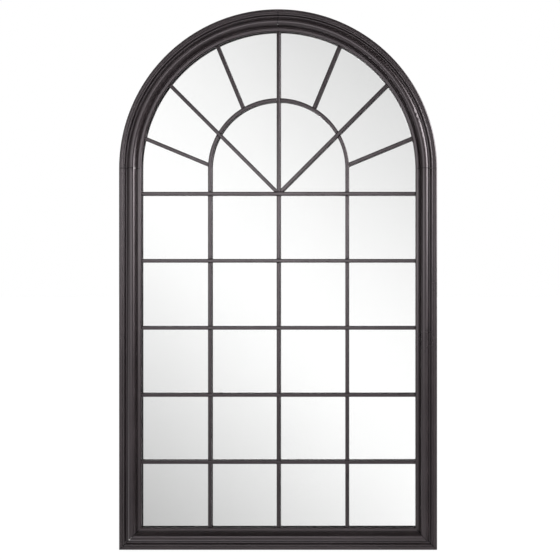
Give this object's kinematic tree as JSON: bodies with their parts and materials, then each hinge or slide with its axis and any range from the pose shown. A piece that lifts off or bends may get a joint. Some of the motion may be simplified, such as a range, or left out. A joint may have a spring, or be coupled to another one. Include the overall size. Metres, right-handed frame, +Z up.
{
  "type": "wall mirror",
  "caption": "Arched window-pane wall mirror: dark moulded steel frame, flush glazing-bar grille with a fanlight, one mirror sheet, back board, turn buttons and ring hangers.",
  "frame": {"origin": "centre of the base rail's flat underside, half way between the wall and the outer band", "axes": "+X to the right seen from the front, +Y back to the wall, +Z up"},
  "size_m": [1, 0.0381, 1.7],
  "materials": {
    "frame_paint": "satin dark bronze paint",
    "bar_paint": "satin dark bronze paint",
    "mirror_sheet": "silvered float glass",
    "gasket_foam": "black foam tape",
    "pad_rubber": "solid rubber strip",
    "hardboard": "smooth pressed board",
    "zinc_plate": "zinc plated",
    "button_steel": "zinc plated",
    "ring_wire": "nickel plated",
    "screw_steel": "zinc plated"
  },
  "bodies": {
    "frame": {"base_rail": "frame_paint", "left_stile": "frame_paint", "right_stile": "frame_paint", "left_arch": "frame_paint", "right_arch": "frame_paint", "left_corner_brace": "zinc_plate", "right_corner_brace": "zinc_plate", "left_spring_plate": "zinc_plate", "right_spring_plate": "zinc_plate", "crown_plate": "zinc_plate", "row_bar_1": "bar_paint", "row_bar_2": "bar_paint", "row_bar_3": "bar_paint", "row_bar_4": "bar_paint", "hub_rail": "bar_paint", "centre_mullion": "bar_paint", "left_mullion": "bar_paint", "right_mullion": "bar_paint", "fan_hoop": "bar_paint", "left_long_spoke": "bar_paint", "right_long_spoke": "bar_paint", "left_upper_spoke": "bar_paint", "right_upper_spoke": "bar_paint", "left_lower_spoke": "bar_paint", "right_lower_spoke": "bar_paint", "mirror_glass": "mirror_sheet", "glazing_gasket": "gasket_foam", "setting_pads": "pad_rubber", "backing_board": "hardboard", "left_hanger_strap": "zinc_plate", "right_hanger_strap": "zinc_plate", "brace_screws": "screw_steel", "button_screws": "screw_steel", "hanger_screws": "screw_steel"},
    "left_turn_button_1": {"left_turn_button_1": "button_steel"},
    "left_turn_button_2": {"left_turn_button_2": "button_steel"},
    "left_turn_button_3": {"left_turn_button_3": "button_steel"},
    "left_base_turn_button": {"left_base_turn_button": "button_steel"},
    "left_arch_turn_button": {"left_arch_turn_button": "button_steel"},
    "right_turn_button_1": {"right_turn_button_1": "button_steel"},
    "right_turn_button_2": {"right_turn_button_2": "button_steel"},
    "right_turn_button_3": {"right_turn_button_3": "button_steel"},
    "right_base_turn_button": {"right_base_turn_button": "button_steel"},
    "right_arch_turn_button": {"right_arch_turn_button": "button_steel"},
    "left_hanger_ring": {"left_hanger_ring": "ring_wire"},
    "right_hanger_ring": {"right_hanger_ring": "ring_wire"}
  },
  "joints": [
    {"name": "left_button_1_swing", "type": "hinge", "parent": "frame", "child": "left_turn_button_1", "pos_m": [-0.45325, 0.00675, 0.22], "axis": [0, 1, 0], "range_deg": [-90, 90]},
    {"name": "left_button_2_swing", "type": "hinge", "parent": "frame", "child": "left_turn_button_2", "pos_m": [-0.45325, 0.00675, 0.56], "axis": [0, 1, 0], "range_deg": [-90, 90]},
    {"name": "left_button_3_swing", "type": "hinge", "parent": "frame", "child": "left_turn_button_3", "pos_m": [-0.45325, 0.00675, 0.9], "axis": [0, 1, 0], "range_deg": [-90, 90]},
    {"name": "left_base_button_swing", "type": "hinge", "parent": "frame", "child": "left_base_turn_button", "pos_m": [-0.25, 0.00675, 0.04675], "axis": [0, 1, 0], "range_deg": [-90, 90]},
    {"name": "left_arch_button_swing", "type": "hinge", "parent": "frame", "child": "left_arch_turn_button", "pos_m": [-0.3205, 0.00675, 1.5205], "axis": [0, 1, 0], "range_deg": [-90, 90]},
    {"name": "right_button_1_swing", "type": "hinge", "parent": "frame", "child": "right_turn_button_1", "pos_m": [0.45325, 0.00675, 0.22], "axis": [0, 1, 0], "range_deg": [-90, 90]},
    {"name": "right_button_2_swing", "type": "hinge", "parent": "frame", "child": "right_turn_button_2", "pos_m": [0.45325, 0.00675, 0.56], "axis": [0, 1, 0], "range_deg": [-90, 90]},
    {"name": "right_button_3_swing", "type": "hinge", "parent": "frame", "child": "right_turn_button_3", "pos_m": [0.45325, 0.00675, 0.9], "axis": [0, 1, 0], "range_deg": [-90, 90]},
    {"name": "right_base_button_swing", "type": "hinge", "parent": "frame", "child": "right_base_turn_button", "pos_m": [0.25, 0.00675, 0.04675], "axis": [0, 1, 0], "range_deg": [-90, 90]},
    {"name": "right_arch_button_swing", "type": "hinge", "parent": "frame", "child": "right_arch_turn_button", "pos_m": [0.3205, 0.00675, 1.5205], "axis": [0, 1, 0], "range_deg": [-90, 90]},
    {"name": "left_hanger_ring_swing", "type": "hinge", "parent": "frame", "child": "left_hanger_ring", "pos_m": [-0.45325, 0.0103, 1.06], "axis": [1, 0, 0], "range_deg": [0, 180]},
    {"name": "right_hanger_ring_swing", "type": "hinge", "parent": "frame", "child": "right_hanger_ring", "pos_m": [0.45325, 0.0103, 1.06], "axis": [1, 0, 0], "range_deg": [0, 180]}
  ]
}
